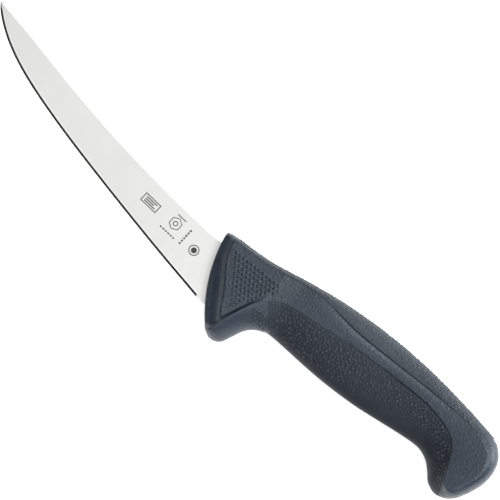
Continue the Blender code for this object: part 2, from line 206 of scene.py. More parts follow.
# How wide the smooth margin beside the upper seam is, and how far down the belly pebbles reach
SPINE_MARGIN = [
    (139.0, 0.3), (180.0, 0.8), (195.0, 2.5), (215.0, 4.8), (235.0, 4.3), (250.0, 2.9),
    (262.0, 0.6), (285.0, 0.3),
]
BELLY_REACH = [
    (172.0, 0.92), (205.0, 0.86), (225.0, 0.72), (245.0, 0.62), (262.0, 0.6), (276.0, 0.62),
    (285.0, 0.7),
]


# ---------------------------------------------------------------- shape functions
def smooth_path(points):
    """A dense Catmull-Rom path through the given points."""
    p = np.array(points, float)
    p = np.vstack([2 * p[0] - p[1], p, 2 * p[-1] - p[-2]])
    t = np.linspace(0, 1, RAIL_STEPS, endpoint=False)[:, None]
    path = []
    for a, b, c, d in zip(p, p[1:], p[2:], p[3:]):
        cubic = (2 * a - 5 * b + 4 * c - d) * t**2 + (3 * b - a - 3 * c + d) * t**3
        path.append(b + 0.5 * ((c - a) * t + cubic))
    path.append(p[-2:-1])
    return np.vstack(path)


def rail(points):
    """A function from shares of the rail's length, 0 to 1, to plan points."""
    path = smooth_path(points)
    steps = np.hypot(*np.diff(path, axis=0).T)
    along = np.concatenate([[0], np.cumsum(steps)]) / steps.sum()
    return lambda u: np.stack([np.interp(u, along, path[:, k]) for k in (0, 1)], -1)


def profile(points):
    """A function from places along the knife to a smoothly varying value there."""
    path = smooth_path(points)
    return lambda x: np.interp(x, path[:, 0], path[:, 1])


def straight_profile(points):
    xs, values = zip(*points)
    return lambda x: np.interp(x, xs, values)


def smoothstep(low, high, x):
    t = np.clip((x - low) / (high - low), 0, 1)
    return t * t * (3 - 2 * t)


def round_over(x):
    """A quarter circle: 0 at the edge, 1 from one radius in."""
    return np.sqrt(np.clip(1 - (1 - np.minimum(x, 1)) ** 2, 0, 1))


def edge_drop(distance, radius):
    """How much a rounded edge of this radius takes off at a distance behind it."""
    return radius * (1 - round_over(distance / radius))


spine_at = rail(SPINE_RAIL)
upper_at = rail(UPPER_SEAM)
lower_at = rail(LOWER_SEAM)
belly_at = rail(BELLY_RAIL)
blade_spine_at = rail(BLADE_SPINE)
blade_edge_at = rail(BLADE_EDGE)
flank_height = profile(FLANK_HEIGHTS)
lower_lean = profile(LOWER_LEANS)
spine_thickness = profile(SPINE_THICKNESS)
edge_thickness = profile(EDGE_THICKNESS)
upper_seam_shows = straight_profile(UPPER_SEAM_SHOWS)
lower_seam_shows = straight_profile(LOWER_SEAM_SHOWS)
spine_margin = profile(SPINE_MARGIN)
belly_reach = profile(BELLY_REACH)


def stack(plan, height):
    return np.concatenate([plan, height[..., None]], -1)


def cove_drop(u, s):
    """How far the guard's hollow front lies below the pad: flat at the lip, then ever steeper."""
    wide = smoothstep(*COVE_WIDENS, s)
    depth = LIP_DROPS[0] + (LIP_DROPS[1] - LIP_DROPS[0]) * wide
    width = COVE_WIDTHS[0] + (COVE_WIDTHS[1] - COVE_WIDTHS[0]) * wide
    behind = u * RAIL_LENGTH
    t = np.clip(behind / width, 0, 1)
    rise = np.where(t < COVE_STEEPEST, t**2 / COVE_STEEPEST, 1 - (1 - t) ** 2 / (1 - COVE_STEEPEST))
    return depth * (1 - rise) + edge_drop(behind, LIP_ROUNDING)


def lean_drop(u, s, x):
    """How far the flank falls away from its crest, towards each seam."""
    upper = UPPER_SHARE * np.clip(1 - s / CREST_ACROSS, 0, 1) ** 2
    lower = np.clip((s - CREST_ACROSS) / (1 - CREST_ACROSS), 0, 1) ** 2
    return (upper + lower) * lower_lean(x) * (1 - smoothstep(*LEAN_END_SPAN, u))


def flank(u, s):
    """Points between the upper seam, s = 0, and the lower one, s = 1."""
    u, s = np.broadcast_arrays(u, s)
    plan = upper_at(u) * (1 - s[..., None]) + lower_at(u) * s[..., None]
    bow = FRONT_BOW * 4 * s * (1 - s) * np.maximum(1 - u / BOW_REACH, 0) ** 2
    plan = plan + FRONT_NORMAL * bow[..., None]
    ridge = smoothstep(*RIDGE_ACROSS, s)
    valley = VALLEY_DEPTH * (1 - smoothstep(*VALLEY_SPAN, u)) * smoothstep(*VALLEY_ACROSS, s)
    drop = (cove_drop(u, s) + valley) * (1 - ridge)
    drop = drop + edge_drop(u * RAIL_LENGTH, LOBE_ROUNDING) * ridge
    x = plan[..., 0]
    most = np.where(x < PAD_END, PAD_HEIGHT, HALF_THICK)
    height = np.minimum(flank_height(x) - lean_drop(u, s, x), most)
    return stack(plan, np.maximum(height - drop, 0))


def width_between(u, one_at, other_at):
    return np.maximum(np.linalg.norm(one_at(u) - other_at(u), axis=-1), 1e-6)


def fullness_towards_butt(u, fullness):
    """A side's fullness, which both sides of the butt share where they meet."""
    return fullness + (BUTT_FULLNESS - fullness) * smoothstep(*PALM_TO_BUTT_SPAN, u)


def spine_side(u, s, depth=0.0):
    """Points from the spine's middle, s = 0, to the upper seam, s = 1, depth below the skin."""
    u, s, depth = np.broadcast_arrays(u, s, depth)
    outer, seam = spine_at(u), upper_at(u)
    thin = depth / width_between(u, spine_at, upper_at)
    share = thin + (1 - thin) * s
    full = fullness_towards_butt(u, SPINE_FULLNESS)
    side = np.clip(1 - (1 - s) ** full, 0, 1) ** (1 / full)
    height = (flank(u, 0.0)[..., 2] - depth) * side
    return stack(outer + (seam - outer) * share[..., None], np.maximum(height, 0))


def belly_fullness(u):
    to_palm = smoothstep(*NOTCH_TO_PALM_SPAN, u)
    palm = NOTCH_FULLNESS + (PALM_FULLNESS - NOTCH_FULLNESS) * to_palm
    return fullness_towards_butt(u, palm)


def belly_side(u, s, depth=0.0):
    """Points from the lower seam, s = 0, to the belly's middle, s = 1, depth below the skin."""
    u, s, depth = np.broadcast_arrays(u, s, depth)
    outer, seam = belly_at(u), lower_at(u)
    share = (1 - depth / width_between(u, belly_at, lower_at)) * s
    height = (flank(u, 1.0)[..., 2] - depth) * np.sqrt(np.clip(1 - s ** belly_fullness(u), 0, 1))
    return stack(seam + (outer - seam) * share[..., None], np.maximum(height, 0))


def grip_depth(u, outer_at, seam_at):
    share = GRIP_DEPTH_SHARE * width_between(u, outer_at, seam_at)
    return np.clip(share, GRIP_DEPTH_LEAST, GRIP_DEPTH)


def place(points):
    """Plan millimetres to the frame's metres."""
    return np.asarray(points) * MM + TIP


# ---------------------------------------------------------------- mesh helpers
def add_grid(bm, points, closed=False):
    """Quads over a grid of points, given in plan millimetres; closed joins the last column."""
    made = [[bm.verts.new(p) for p in row] for row in place(points)]
    count = len(made[0])
    for a, b in zip(made, made[1:]):
        for k in range(count if closed else count - 1):
            after = (k + 1) % count
            bm.faces.new((a[k], b[k], b[after], a[after]))
    return made


def add_strip(bm, one, other):
    """Triangles between two lines of points that may have unlike numbers of points."""
    a = [bm.verts.new(p) for p in place(one)]
    b = [bm.verts.new(p) for p in place(other)]
    i = j = 0
    while i < len(a) - 1 or j < len(b) - 1:
        if j == len(b) - 1 or (i < len(a) - 1 and (i + 1) / (len(a) - 1) <= (j + 1) / (len(b) - 1)):
            bm.faces.new((a[i], a[i + 1], b[j]))
            i += 1
        else:
            bm.faces.new((a[i], b[j + 1], b[j]))
            j += 1


WELD = 2e-7


def finish_mesh(bm, name, sharp_angle=SHARP_ANGLE):
    """Weld the patches, drop what a weld left flat, and turn the faces out."""
    bmesh.ops.remove_doubles(bm, verts=bm.verts, dist=WELD)
    bmesh.ops.dissolve_degenerate(bm, edges=bm.edges, dist=WELD)
    bmesh.ops.recalc_face_normals(bm, faces=bm.faces)
    mesh = bpy.data.meshes.new(name)
    bm.to_mesh(mesh)
    bm.free()
    mesh.shade_smooth()
    mesh.set_sharp_from_angle(angle=math.radians(sharp_angle))
    return mesh


def add_object(mesh):
    obj = bpy.data.objects.new(mesh.name, mesh)
    bpy.context.scene.collection.objects.link(obj)
    return obj


def mirror_halves(bm):
    """The other half of everything built so far, across the middle plane."""
    made = bmesh.ops.duplicate(bm, geom=bm.verts[:] + bm.edges[:] + bm.faces[:])["geom"]
    for vert in (g for g in made if isinstance(g, bmesh.types.BMVert)):
        vert.co.z = 2 * TIP[2] - vert.co.z
    bmesh.ops.reverse_faces(bm, faces=[g for g in made if isinstance(g, bmesh.types.BMFace)])


def apply_boolean(obj, cutter_mesh, operation):
    """Cut obj with, or join it to, a closed mesh."""
    cutter = add_object(cutter_mesh)
    modifier = obj.modifiers.new(operation.lower(), "BOOLEAN")
    modifier.operation = operation
    modifier.object = cutter
    bpy.context.view_layer.update()
    graph = bpy.context.evaluated_depsgraph_get()
    mesh = bpy.data.meshes.new_from_object(obj.evaluated_get(graph))
    obj.modifiers.clear()
    obj.data = mesh
    bpy.data.objects.remove(cutter)


def add_rods(bm, trim):
    """Round rods through the tang's holes, thinner than the holes by `trim` all round."""
    for x, y, radius in TANG_HOLES:
        made = bmesh.ops.create_cone(
            bm, cap_ends=True, segments=PEG_SIDES, radius1=(radius - trim) * MM,
            radius2=(radius - trim) * MM, depth=PEG_LENGTH * MM,
        )
        bmesh.ops.translate(bm, verts=made["verts"], vec=place((x, y, 0)))


# ---------------------------------------------------------------- blade
BLADE_ROWS = 300
BLADE_TIP_ROWS = [0.0, 0.0006, 0.0015]
CHEEK_CUTS = 10
SPINE_CORNER = 0.18
CORNER_CUTS = 4
EDGE_HALF = 0.015  # half the sharp edge's thickness
SHINE_WIDTH = 0.55  # the strip with a painted highlight line, where the ground edge meets the cheek
SHINE_SHARE = 0.06
STRIP_WELD = 2e-6
CORNER_WIDTH_SHARE = 0.2  # the spine's rounding, at most, of the blade's width
CORNER_THICKNESS_SHARE = 0.6  # and of its half thickness
BLADE_SHARP_ANGLE = 14
EDGE_STATIONS = 500  # tried for the station that reaches a given place


def blade_half_ring(us, grow):
    """The left half of the blade's sections, from the spine over the cheek to the edge."""
    top, low = blade_spine_at(us), blade_edge_at(us)
    across = low - top
    width = np.maximum(np.linalg.norm(across, axis=-1), 1e-6)
    inward = across / width[:, None]
    top = top - inward * grow
    low = low + inward * grow
    width = width + 2 * grow
    thinning = round_over(width / TIP_THINNING)
    thick_top = spine_thickness(top[:, 0]) * thinning + grow
    thick_low = edge_thickness(low[:, 0]) * thinning + grow
    bevel = np.minimum(BEVEL_WIDTH, BEVEL_SHARE * width)
    blunt = 1.0 if grow else smoothstep(BEVEL_END, BEVEL_END + PLUNGE, low[:, 0])
    corner = np.minimum(SPINE_CORNER, CORNER_WIDTH_SHARE * width)
    corner = np.minimum(corner, CORNER_THICKNESS_SHARE * thick_top)
    distances, heights = [np.zeros_like(width)], [np.zeros_like(width)]
    for angle in np.linspace(0, math.pi / 2, CORNER_CUTS):
        distances.append(corner * (1 - math.cos(angle)))
        heights.append(thick_top - corner * (1 - math.sin(angle)))
    shine = np.minimum(SHINE_WIDTH, SHINE_SHARE * width)
    cheek = width - bevel - corner
    shares = [np.full_like(width, share) for share in np.linspace(0, 1, CHEEK_CUTS)[1:]]
    shares[-1:] = [1 - shine / np.maximum(cheek, 1e-6), shares[-1]]
    for share in shares:
        distances.append(corner + cheek * share)
        heights.append(thick_top + (thick_low - thick_top) * share)
    edge = np.minimum(EDGE_HALF, thick_low)
    distances += [width, width]
    heights += [edge + (thick_low - edge) * blunt, np.zeros_like(width)]
    distances, heights = np.stack(distances, 1), np.stack(heights, 1)
    plan = top[:, None, :] + inward[:, None, :] * distances[..., None]
    return stack(plan, heights)


def blade_mesh(name, us, grow=0.0):
    """The whole blade and tang through the stations `us`, grown all round by `grow`."""
    half = blade_half_ring(np.asarray(us), grow)
    other = half[:, -2:0:-1] * [1, 1, -1]
    bm = bmesh.new()
    made = add_grid(bm, np.concatenate([half, other], axis=1), closed=True)
    for ring in (made[0], made[-1]):
        bm.faces.new(ring)
    return finish_mesh(bm, name, BLADE_SHARP_ANGLE)


def make_blade():
    us = np.concatenate([BLADE_TIP_ROWS, np.linspace(0, 1, BLADE_ROWS)[1:]])
    blade = add_object(blade_mesh("blade_steel", us))
    bm = bmesh.new()
    add_rods(bm, 0.0)
    apply_boolean(blade, finish_mesh(bm, "drill"), "DIFFERENCE")
    half = blade_half_ring(us[us < edge_share_at(BEVEL_END + PLUNGE)], 0.0)
    # The bevel's faces, which get a painted dark reflection
    mark_strip(blade.data, "bevel", half, -3)
    # The strip beside the bevel, which gets a painted highlight line
    mark_strip(blade.data, "shine", half, -4)
    return blade


def edge_share_at(x):
    """The station where the blade's edge reaches `x` from the tip."""
    us = np.linspace(0, 1, EDGE_STATIONS)
    return us[np.argmin(np.abs(blade_edge_at(us)[:, 0] - x))]


def mark_strip(mesh, name, half, column):
    """Store 1 on the faces that lie between one column of the half rings and the next."""
    corners = half[:, column:][:, :2]
    centres = (corners[1:].sum(axis=1) + corners[:-1].sum(axis=1)) / 4
    both = place(np.concatenate([centres, centres * [1, 1, -1]]))
    tree = KDTree(len(both))
    for k, p in enumerate(both):
        tree.insert(p, k)
    tree.balance()
    attribute = mesh.attributes.new(name, "FLOAT", "FACE")
    for face, value in zip(mesh.polygons, attribute.data):
        middle = sum((mesh.vertices[k].co for k in face.vertices), Vector()) / len(face.vertices)
        value.value = float(tree.find(middle)[2] < STRIP_WELD)


# ---------------------------------------------------------------- etched marks
MARK_PROUD = 0.012
MARK_SUNK = 0.03
STROKE = 0.42
BADGE_AT, BADGE_SIZE = (106.5, -18.6), (8.8, 4.2)
BADGE_BARS = [(0.7, 0.0), (0.55, -0.6), (0.7, 0.0)]  # share of the badge's width, and shift
BADGE_BAR_STEP, BADGE_BAR_HEIGHT = 0.95, 0.5
EMBLEM_AT, EMBLEM_RADIUS, HUB_RADIUS = (120.4, -17.8), 3.0, 1.2
EMBLEM_BAR_SHIFT, EMBLEM_BAR_SIZE = (0.5, 3.7), (4.8, STROKE)
DASHES = 6
# Each row of dashes: where it starts, the step to the next dash, and a dash's size
DASH_ROWS = [
    ((116.6, -23.0), (1.45, 0.0), (0.95, 0.62)),
    ((127.4, -22.6), (0.0, 1.4), (0.8, 0.9)),
]
RING_AT, RING_RADIUS, DISC_RADIUS = (134.0, -20.7), 2.4, 1.3
RING_SIDES, SMALL_SIDES = 48, 32


def ngon(centre, radius, sides, turn=0.0):
    angles = np.arange(sides) * 2 * math.pi / sides + turn
    return np.array(centre) + radius * np.stack([np.cos(angles), np.sin(angles)], -1)


def box_outline(centre, size):
    (x, y), (w, h) = centre, size
    corners = [(-1, -1), (1, -1), (1, 1), (-1, 1)]
    return np.array([(x + i * w / 2, y + j * h / 2) for i, j in corners])


def add_plate(bm, tree, outline, hole=None):
    """A thin plate on the blade's left cheek, with an optional hole of as many corners."""
    loops = [outline] if hole is None else [outline, hole]
    tops, bottoms = [], []
    for loop in loops:
        top, bottom = [], []
        for x, y in loop:
            start = Vector(place((x, y, HALF_THICK)))
            hit = tree.ray_cast(start, Vector((0, 0, -1)))[0]
            top.append(bm.verts.new(hit + Vector((0, 0, MARK_PROUD * MM))))
            bottom.append(bm.verts.new(hit - Vector((0, 0, MARK_SUNK * MM))))
        tops.append(top)
        bottoms.append(bottom)
    count = len(outline)
    for top, bottom in zip(tops, bottoms):
        for k in range(count):
            after = (k + 1) % count
            bm.faces.new((top[k], top[after], bottom[after], bottom[k]))
    for level in (tops, bottoms):
        if hole is None:
            bm.faces.new(level[0])
            continue
        for k in range(count):
            after = (k + 1) % count
            bm.faces.new((level[0][k], level[0][after], level[1][after], level[1][k]))


def add_ring(bm, tree, centre, radius, sides):
    add_plate(bm, tree, ngon(centre, radius, sides), ngon(centre, radius - STROKE, sides))


def make_marks(blade):
    """Plain etched marks: a badge with bars, a hexagon, rows of dashes and a ring."""
    tree = BVHTree.FromObject(blade, bpy.context.evaluated_depsgraph_get())
    bm = bmesh.new()
    width, height = BADGE_SIZE
    frame_in = (width - 2 * STROKE, height - 2 * STROKE)
    add_plate(bm, tree, box_outline(BADGE_AT, BADGE_SIZE), box_outline(BADGE_AT, frame_in))
    for row, (share, shift) in enumerate(BADGE_BARS):
        centre = (BADGE_AT[0] + shift, BADGE_AT[1] + (1 - row) * BADGE_BAR_STEP)
        add_plate(bm, tree, box_outline(centre, (width * share, BADGE_BAR_HEIGHT)))
    turn = math.pi / 6
    hexagon = ngon(EMBLEM_AT, EMBLEM_RADIUS, 6, turn)
    add_plate(bm, tree, hexagon, ngon(EMBLEM_AT, EMBLEM_RADIUS - STROKE, 6, turn))
    add_ring(bm, tree, EMBLEM_AT, HUB_RADIUS, SMALL_SIDES)
    bar_at = (EMBLEM_AT[0] + EMBLEM_BAR_SHIFT[0], EMBLEM_AT[1] + EMBLEM_BAR_SHIFT[1])
    add_plate(bm, tree, box_outline(bar_at, EMBLEM_BAR_SIZE))
    for (x, y), (step_x, step_y), size in DASH_ROWS:
        for k in range(DASHES):
            add_plate(bm, tree, box_outline((x + step_x * k, y + step_y * k), size))
    add_ring(bm, tree, RING_AT, RING_RADIUS, RING_SIDES)
    add_plate(bm, tree, ngon(RING_AT, DISC_RADIUS, SMALL_SIDES))
    return add_object(finish_mesh(bm, "blade_marks"))


# ---------------------------------------------------------------- handle core
COVE_ROWS = 36
COVE_SPAN = 0.06
CORE_ROWS = 230
BUTT_ROWS = 14
BUTT_START = 0.985
EDGE_STEPS = np.array([0.0, 0.04, 0.1, 0.18, 0.3])
EDGE_SHARE = 0.04  # of the flank's width, at most, for all the edge steps
FLANK_CUTS = 44
SIDE_CUTS = 22
FINE_CUTS = 500
ROW_MERGE = 0.3  # of the space between rows: nearer than this to a grip's end, a row is left out
SEAM_FADE = 0.01  # of the rail, over which a seam's rounding fades at the grip's ends

# One side of the handle: its surface, its two rails, and the grip let into it
Side = namedtuple("Side", "surface outer seam seam_share span shows")
SPINE = Side(spine_side, spine_at, upper_at, 1.0, SPINE_GRIP_SPAN, upper_seam_shows)
BELLY = Side(belly_side, belly_at, lower_at, 0.0, BELLY_GRIP_SPAN, lower_seam_shows)


def core_rows():
    """Stations along the core, closest in the cove, with one at each end of each grip."""
    rows = np.concatenate([
        np.linspace(0, COVE_SPAN, COVE_ROWS, endpoint=False),
        np.linspace(COVE_SPAN, BUTT_START, CORE_ROWS, endpoint=False),
        1 - (1 - BUTT_START) * (1 - np.linspace(0, 1, BUTT_ROWS)) ** 2,
    ])
    stops = np.array([*SPINE_GRIP_SPAN, *BELLY_GRIP_SPAN])
    near = ROW_MERGE * (BUTT_START - COVE_SPAN) / CORE_ROWS
    rows = rows[np.abs(rows[:, None] - stops).min(axis=1) > near]
    return np.sort(np.concatenate([rows, stops]))


def even_cuts(surface, u, first, last, count):
    """Shares from first to last on each row, evenly spaced along the curved side."""
    q = np.linspace(0, 1, FINE_CUTS)
    q = q - np.sin(2 * math.pi * q) / (2 * math.pi)
    shares, rows = np.broadcast_arrays(first + (last - first) * q, u)
    steps = np.linalg.norm(np.diff(surface(rows, shares), axis=1), axis=-1)
    along = np.concatenate([np.zeros((len(steps), 1)), np.cumsum(steps, axis=1)], axis=1)
    even = np.linspace(0, 1, count)
    return np.stack([np.interp(even * a[-1], a, s) for a, s in zip(along, shares)])


def seam_show(side, u):
    """How much of a seam's rounding there is: none beyond the grip's two ends."""
    first, last = side.span
    inside = smoothstep(first, first + SEAM_FADE, u) * (1 - smoothstep(last - SEAM_FADE, last, u))
    return inside * side.shows(side.seam(u)[..., 0])


def side_depth(side, u):
    return grip_depth(u, side.outer, side.seam)


def core_flank(rows):
    """The core's flank, with its edges rounded where a grip's seam shows."""
    u = rows[:, None]
    width = width_between(rows, upper_at, lower_at)[:, None]
    edge = np.minimum(EDGE_STEPS / width, EDGE_SHARE)
    start, end = edge[:, -1:], 1 - edge[:, -1:]
    middle = start + (end - start) * np.linspace(0, 1, FLANK_CUTS)[None, 1:-1]
    s = np.concatenate([edge, middle, 1 - edge[:, ::-1]], axis=1)
    points = flank(u, s)
    drop = edge_drop(s * width, CORE_ROUNDING) * seam_show(SPINE, u)
    drop = drop + edge_drop((1 - s) * width, CORE_ROUNDING) * seam_show(BELLY, u)
    points[..., 2] -= drop
    return points


def side_grid(side, rows, depth=0.0):
    u = np.asarray(rows)[:, None]
    return side.surface(u, even_cuts(side.surface, u, 0.0, 1.0, SIDE_CUTS), depth)


def add_core_side(bm, side, rows, edge):
    """One side of the core: bare before and after the grip, and the grip's bed between.

    `edge` is the flank's own edge along this side, which the bed's wall starts from.
    """
    first, last = side.span
    bed = (rows >= first) & (rows <= last)
    deep = side_grid(side, rows[bed], side_depth(side, rows[bed])[:, None])
    add_grid(bm, deep)
    for bare in (rows[rows <= first], rows[rows >= last]):
        add_grid(bm, side_grid(side, bare))
    for end, bed_end in ((first, deep[0]), (last, deep[-1])):
        add_grid(bm, np.stack([side_grid(side, [end])[0], bed_end]))
    seam_column = -1 if side.seam_share else 0
    add_grid(bm, np.stack([edge[bed], deep[:, seam_column]], axis=1))


def make_core():
    rows = core_rows()
    bm = bmesh.new()
    skin = core_flank(rows)
    add_grid(bm, skin)
    add_core_side(bm, SPINE, rows, skin[:, 0])
    add_core_side(bm, BELLY, rows, skin[:, -1])
    lip = np.concatenate([side_grid(SPINE, [0.0])[0], skin[0], side_grid(BELLY, [0.0])[0]])
    add_grid(bm, np.stack([lip, lip * [1, 1, 0]], axis=1))
    mirror_halves(bm)
    core = add_object(finish_mesh(bm, "handle_body"))
    add_dots(core)
    cut_tang_pocket(core)
    core.data.set_sharp_from_angle(angle=math.radians(SHARP_ANGLE))
    return core


def dot_places():
    """Plan places and sizes of the dots on the pad and in the finger notch."""
    places = []
    for column in range(-1, DOT_COLUMNS):
        rows = int(DOT_ROWS - DOT_ROWS_LOST * max(column, 0))
        size = BORDER_DOT_SIZE if column < 0 else 1.0
        for row in range(rows):
            at = DOT_START + column * DOT_COLUMN_STEP + row * DOT_ROW_STEP
            places.append((*at, size))
    for column in range(NOTCH_DOT_COLUMNS):
        for row in range(NOTCH_DOT_ROWS):
            at = NOTCH_DOT_START + column * NOTCH_COLUMN_STEP + row * NOTCH_ROW_STEP
            places.append((*at, NOTCH_DOT_SIZE))
    return places


def ball_template():
    """A ball of radius 1 as points and faces, with its poles on the Z axis."""
    bm = bmesh.new()
    bmesh.ops.create_uvsphere(bm, u_segments=DOT_SIDES, v_segments=DOT_SIDES, radius=1.0)
    points = np.array([vert.co for vert in bm.verts])
    faces = [[vert.index for vert in face.verts] for face in bm.faces]
    bm.free()
    return points, faces


def add_dots(core):
    """Raised dots: balls sunk in both flanks, joined to the core."""
    tree = BVHTree.FromObject(core, bpy.context.evaluated_depsgraph_get())
    ball_points, ball_faces = ball_template()
    points, faces = [], []
    for x, y, size in dot_places():
        radius, height = DOT_RADIUS * size, DOT_HEIGHT * size
        ball = (radius**2 + height**2) / (2 * height)
        above = Vector(place((x, y, 2 * HALF_THICK)))
        hit, normal, _, _ = tree.ray_cast(above, Vector((0, 0, -1)))
        centre = np.array(hit - normal * (ball - height) * MM)
        turn = np.array(Vector((0, 0, 1)).rotation_difference(normal).to_matrix())
        for side in (1, -1):
            placed = ball_points @ turn.T * ball * MM + centre
            if side < 0:
                placed[:, 2] = 2 * TIP[2] - placed[:, 2]
            first = len(points) * len(ball_points)
            faces += [[first + k for k in face[::side]] for face in ball_faces]
            points.append(placed)
    dots = bpy.data.meshes.new("dots")
    dots.from_pydata(np.concatenate(points), [], faces)
    dots.shade_smooth()
    apply_boolean(core, dots, "UNION")


def cut_tang_pocket(core):
    """The core's pocket for the tang, with a peg of the core left through each hole."""
    us = np.linspace(POCKET_START, 1, POCKET_ROWS)
    pocket = add_object(blade_mesh("pocket", us, POCKET_GAP))
    bm = bmesh.new()
    add_rods(bm, POCKET_GAP)
    apply_boolean(pocket, finish_mesh(bm, "pegs"), "DIFFERENCE")
    mesh = pocket.data
    bpy.data.objects.remove(pocket)
    apply_boolean(core, mesh, "DIFFERENCE")


# ---------------------------------------------------------------- grips
GRIP_END_GAP = 0.03
GRIP_BED_GAP = 0.2
END_ROUNDING = 0.08
GRIP_SHARP_ANGLE = 50
BED_ROWS = 60
BED_CUTS = 10
EDGE_ROWS = np.array([0.0, 0.06, 0.15, 0.28])
FRONT_LIGHT_FADE = 7.0  # over this length from a grip's front, a painted light fades into the grip's colour
MASK_FADE = (0.3, 1.2)  # how far from a grip's edges its pebbles begin
MASK_LEAST = 0.25  # where the mask is weaker, no pebble has its centre
MARGIN_FADE = (0.2, 0.8)  # on each side of the smooth margin's end, where the pebbles fade in
BELLY_START = (0.01, 0.05)  # of the belly's side, where its pebbles begin
REACH_FADE = (0.1, 0.04)  # on each side of the belly pebbles' reach, where they fade out


def pebble_centres(points, mask, spacing, rng):
    """Places on the skin at least a spacing apart, in an even but irregular scatter."""
    flat, wanted = points.reshape(-1, 3), mask.ravel() > MASK_LEAST
    cells, chosen = {}, []
    for k in rng.permutation(np.flatnonzero(wanted))[:PEBBLE_TRIES]:
        p = flat[k]
        cell = tuple(np.floor(p / spacing).astype(int))
        near = [
            q for dx in (-1, 0, 1) for dy in (-1, 0, 1) for dz in (-1, 0, 1)
            for q in cells.get((cell[0] + dx, cell[1] + dy, cell[2] + dz), ())
        ]
        if all(((p - q) ** 2).sum() > spacing**2 for q in near):
            cells.setdefault(cell, []).append(p)
            chosen.append(p)
    return chosen


def pebble_lift(points, mask, pebbles, seed):
    """How far each point of the skin stands out: a low dome round each pebble's centre."""
    spacing, radii, heights = pebbles
    rng = np.random.default_rng(seed)
    flat = points.reshape(-1, 3)
    tree = KDTree(len(flat))
    for k, p in enumerate(flat):
        tree.insert(p, k)
    tree.balance()
    lift = np.zeros(len(flat))
    for centre in pebble_centres(points, mask, spacing, rng):
        radius, height = rng.uniform(*radii), rng.uniform(*heights)
        for _, k, distance in tree.find_range(centre, radius):
            lift[k] = max(lift[k], height * (1 - (distance / radius) ** 2) ** PEBBLE_POWER)
    return lift.reshape(mask.shape) * mask


def outward_normals(points, outward):
    """Unit normals of a grid of points, on the side that faces the plan direction `outward`."""
    normals = np.cross(np.gradient(points, axis=0), np.gradient(points, axis=1))
    normals /= np.maximum(np.linalg.norm(normals, axis=-1, keepdims=True), 1e-12)
    rows, columns, _ = normals.shape
    facing = np.dot(normals[rows // 2, columns // 2, :2], outward)
    return normals if facing > 0 else -normals


def both_sides(half):
    """The left half of a grip's columns, continued over the middle plane to the right half."""
    mirror = [1, 1, -1] if half.ndim == 3 else 1
    return np.concatenate([half, half[:, -2::-1] * mirror], axis=1)


def grip_rows(side, count):
    """Even stations along a grip, with a few close ones at both ends for the rounding there."""
    first, last = np.array(side.span) + np.array([1, -1]) * GRIP_END_GAP / RAIL_LENGTH
    near = EDGE_ROWS / RAIL_LENGTH
    middle = np.linspace(first + 2 * near[-1], last - 2 * near[-1], count)
    return np.concatenate([first + near, middle, last - near[::-1]])


def grip_cuts(side, u, count, steps=EDGE_STEPS):
    """Shares from the grip's edge at the seam to the middle, with close ones at the edge."""
    gap = SEAM_GAP_LEAST + (SEAM_GAP - SEAM_GAP_LEAST) * side.shows(side.seam(u)[..., 0])
    across = (gap + steps) / width_between(u, side.outer, side.seam)
    towards = 1 - 2 * side.seam_share
    near = side.seam_share + towards * across
    rest = even_cuts(side.surface, u, near[:, -1:], 1 - side.seam_share, count)
    return np.concatenate([near, rest[:, 1:]], axis=1)


def edge_distance(half):
    """How far each point of a half skin is from its seam edge, along its row."""
    steps = np.linalg.norm(np.diff(half, axis=1), axis=-1)
    return np.concatenate([np.zeros((len(half), 1)), np.cumsum(steps, axis=1)], axis=1)


def make_grip(name, side, mask_at, outward, pebbles, seed, rows, columns):
    """A soft grip: a pebbled skin over an even thickness, its edges rounded into the seams."""
    ends = grip_rows(side, rows)
    u = ends[:, None]
    s = grip_cuts(side, u, columns)
    half = side.surface(u, s)
    skin = both_sides(half)
    from_edge = both_sides(edge_distance(half))
    from_end = np.minimum(u - ends[0], ends[-1] - u) * RAIL_LENGTH
    mask = both_sides(mask_at(u, s))
    mask = mask * smoothstep(*MASK_FADE, from_edge) * smoothstep(*MASK_FADE, from_end)
    lift = pebble_lift(skin, mask, pebbles, seed)
    rounded = edge_drop(from_edge, SEAM_ROUNDING) * side.shows(side.seam(u)[..., 0])
    shift = lift - rounded - edge_drop(from_end, END_ROUNDING)
    skin = skin + outward_normals(skin, outward) * shift[..., None]

    inner_u = ends[:: len(ends) // BED_ROWS]
    inner_u = np.append(inner_u[inner_u < ends[-1] - 1e-6], ends[-1])[:, None]
    inner_s = grip_cuts(side, inner_u, BED_CUTS, EDGE_STEPS[:1])
    inner = both_sides(side.surface(inner_u, inner_s, side_depth(side, inner_u) - GRIP_BED_GAP))
    bm = bmesh.new()
    add_grid(bm, skin)
    add_grid(bm, inner)
    for outer_line, inner_line in (
        (skin[:, 0], inner[:, 0]), (skin[:, -1], inner[:, -1]),
        (skin[0], inner[0]), (skin[-1], inner[-1]),
    ):
        add_strip(bm, outer_line, inner_line)
    grip = add_object(finish_mesh(bm, name, GRIP_SHARP_ANGLE))
    # Where the painted light at the grip's front lies, fading out along the grip
    front = 1 - smoothstep(0, FRONT_LIGHT_FADE, np.broadcast_to(u - ends[0], lift.shape) * RAIL_LENGTH)
    # The pebble heights carry the painted highlights on the pebble tops
    mark_skin(grip, skin, pebble=lift / max(pebbles[2]), front=front)
    return grip


def mark_skin(grip, skin, **marks):
    """Store values for the rubber's shader on the vertices of the skin, and 0 elsewhere."""
    tree = KDTree(skin[..., 0].size)
    for k, p in enumerate(place(skin.reshape(-1, 3))):
        tree.insert(p, k)
    tree.balance()
    nearest = [tree.find(vert.co)[1:] for vert in grip.data.vertices]
    for name, values in marks.items():
        flat = values.ravel()
        attribute = grip.data.attributes.new(name, "FLOAT", "POINT")
        for (k, distance), value in zip(nearest, attribute.data):
            value.value = flat[k] if distance < WELD * 2 else 0.0


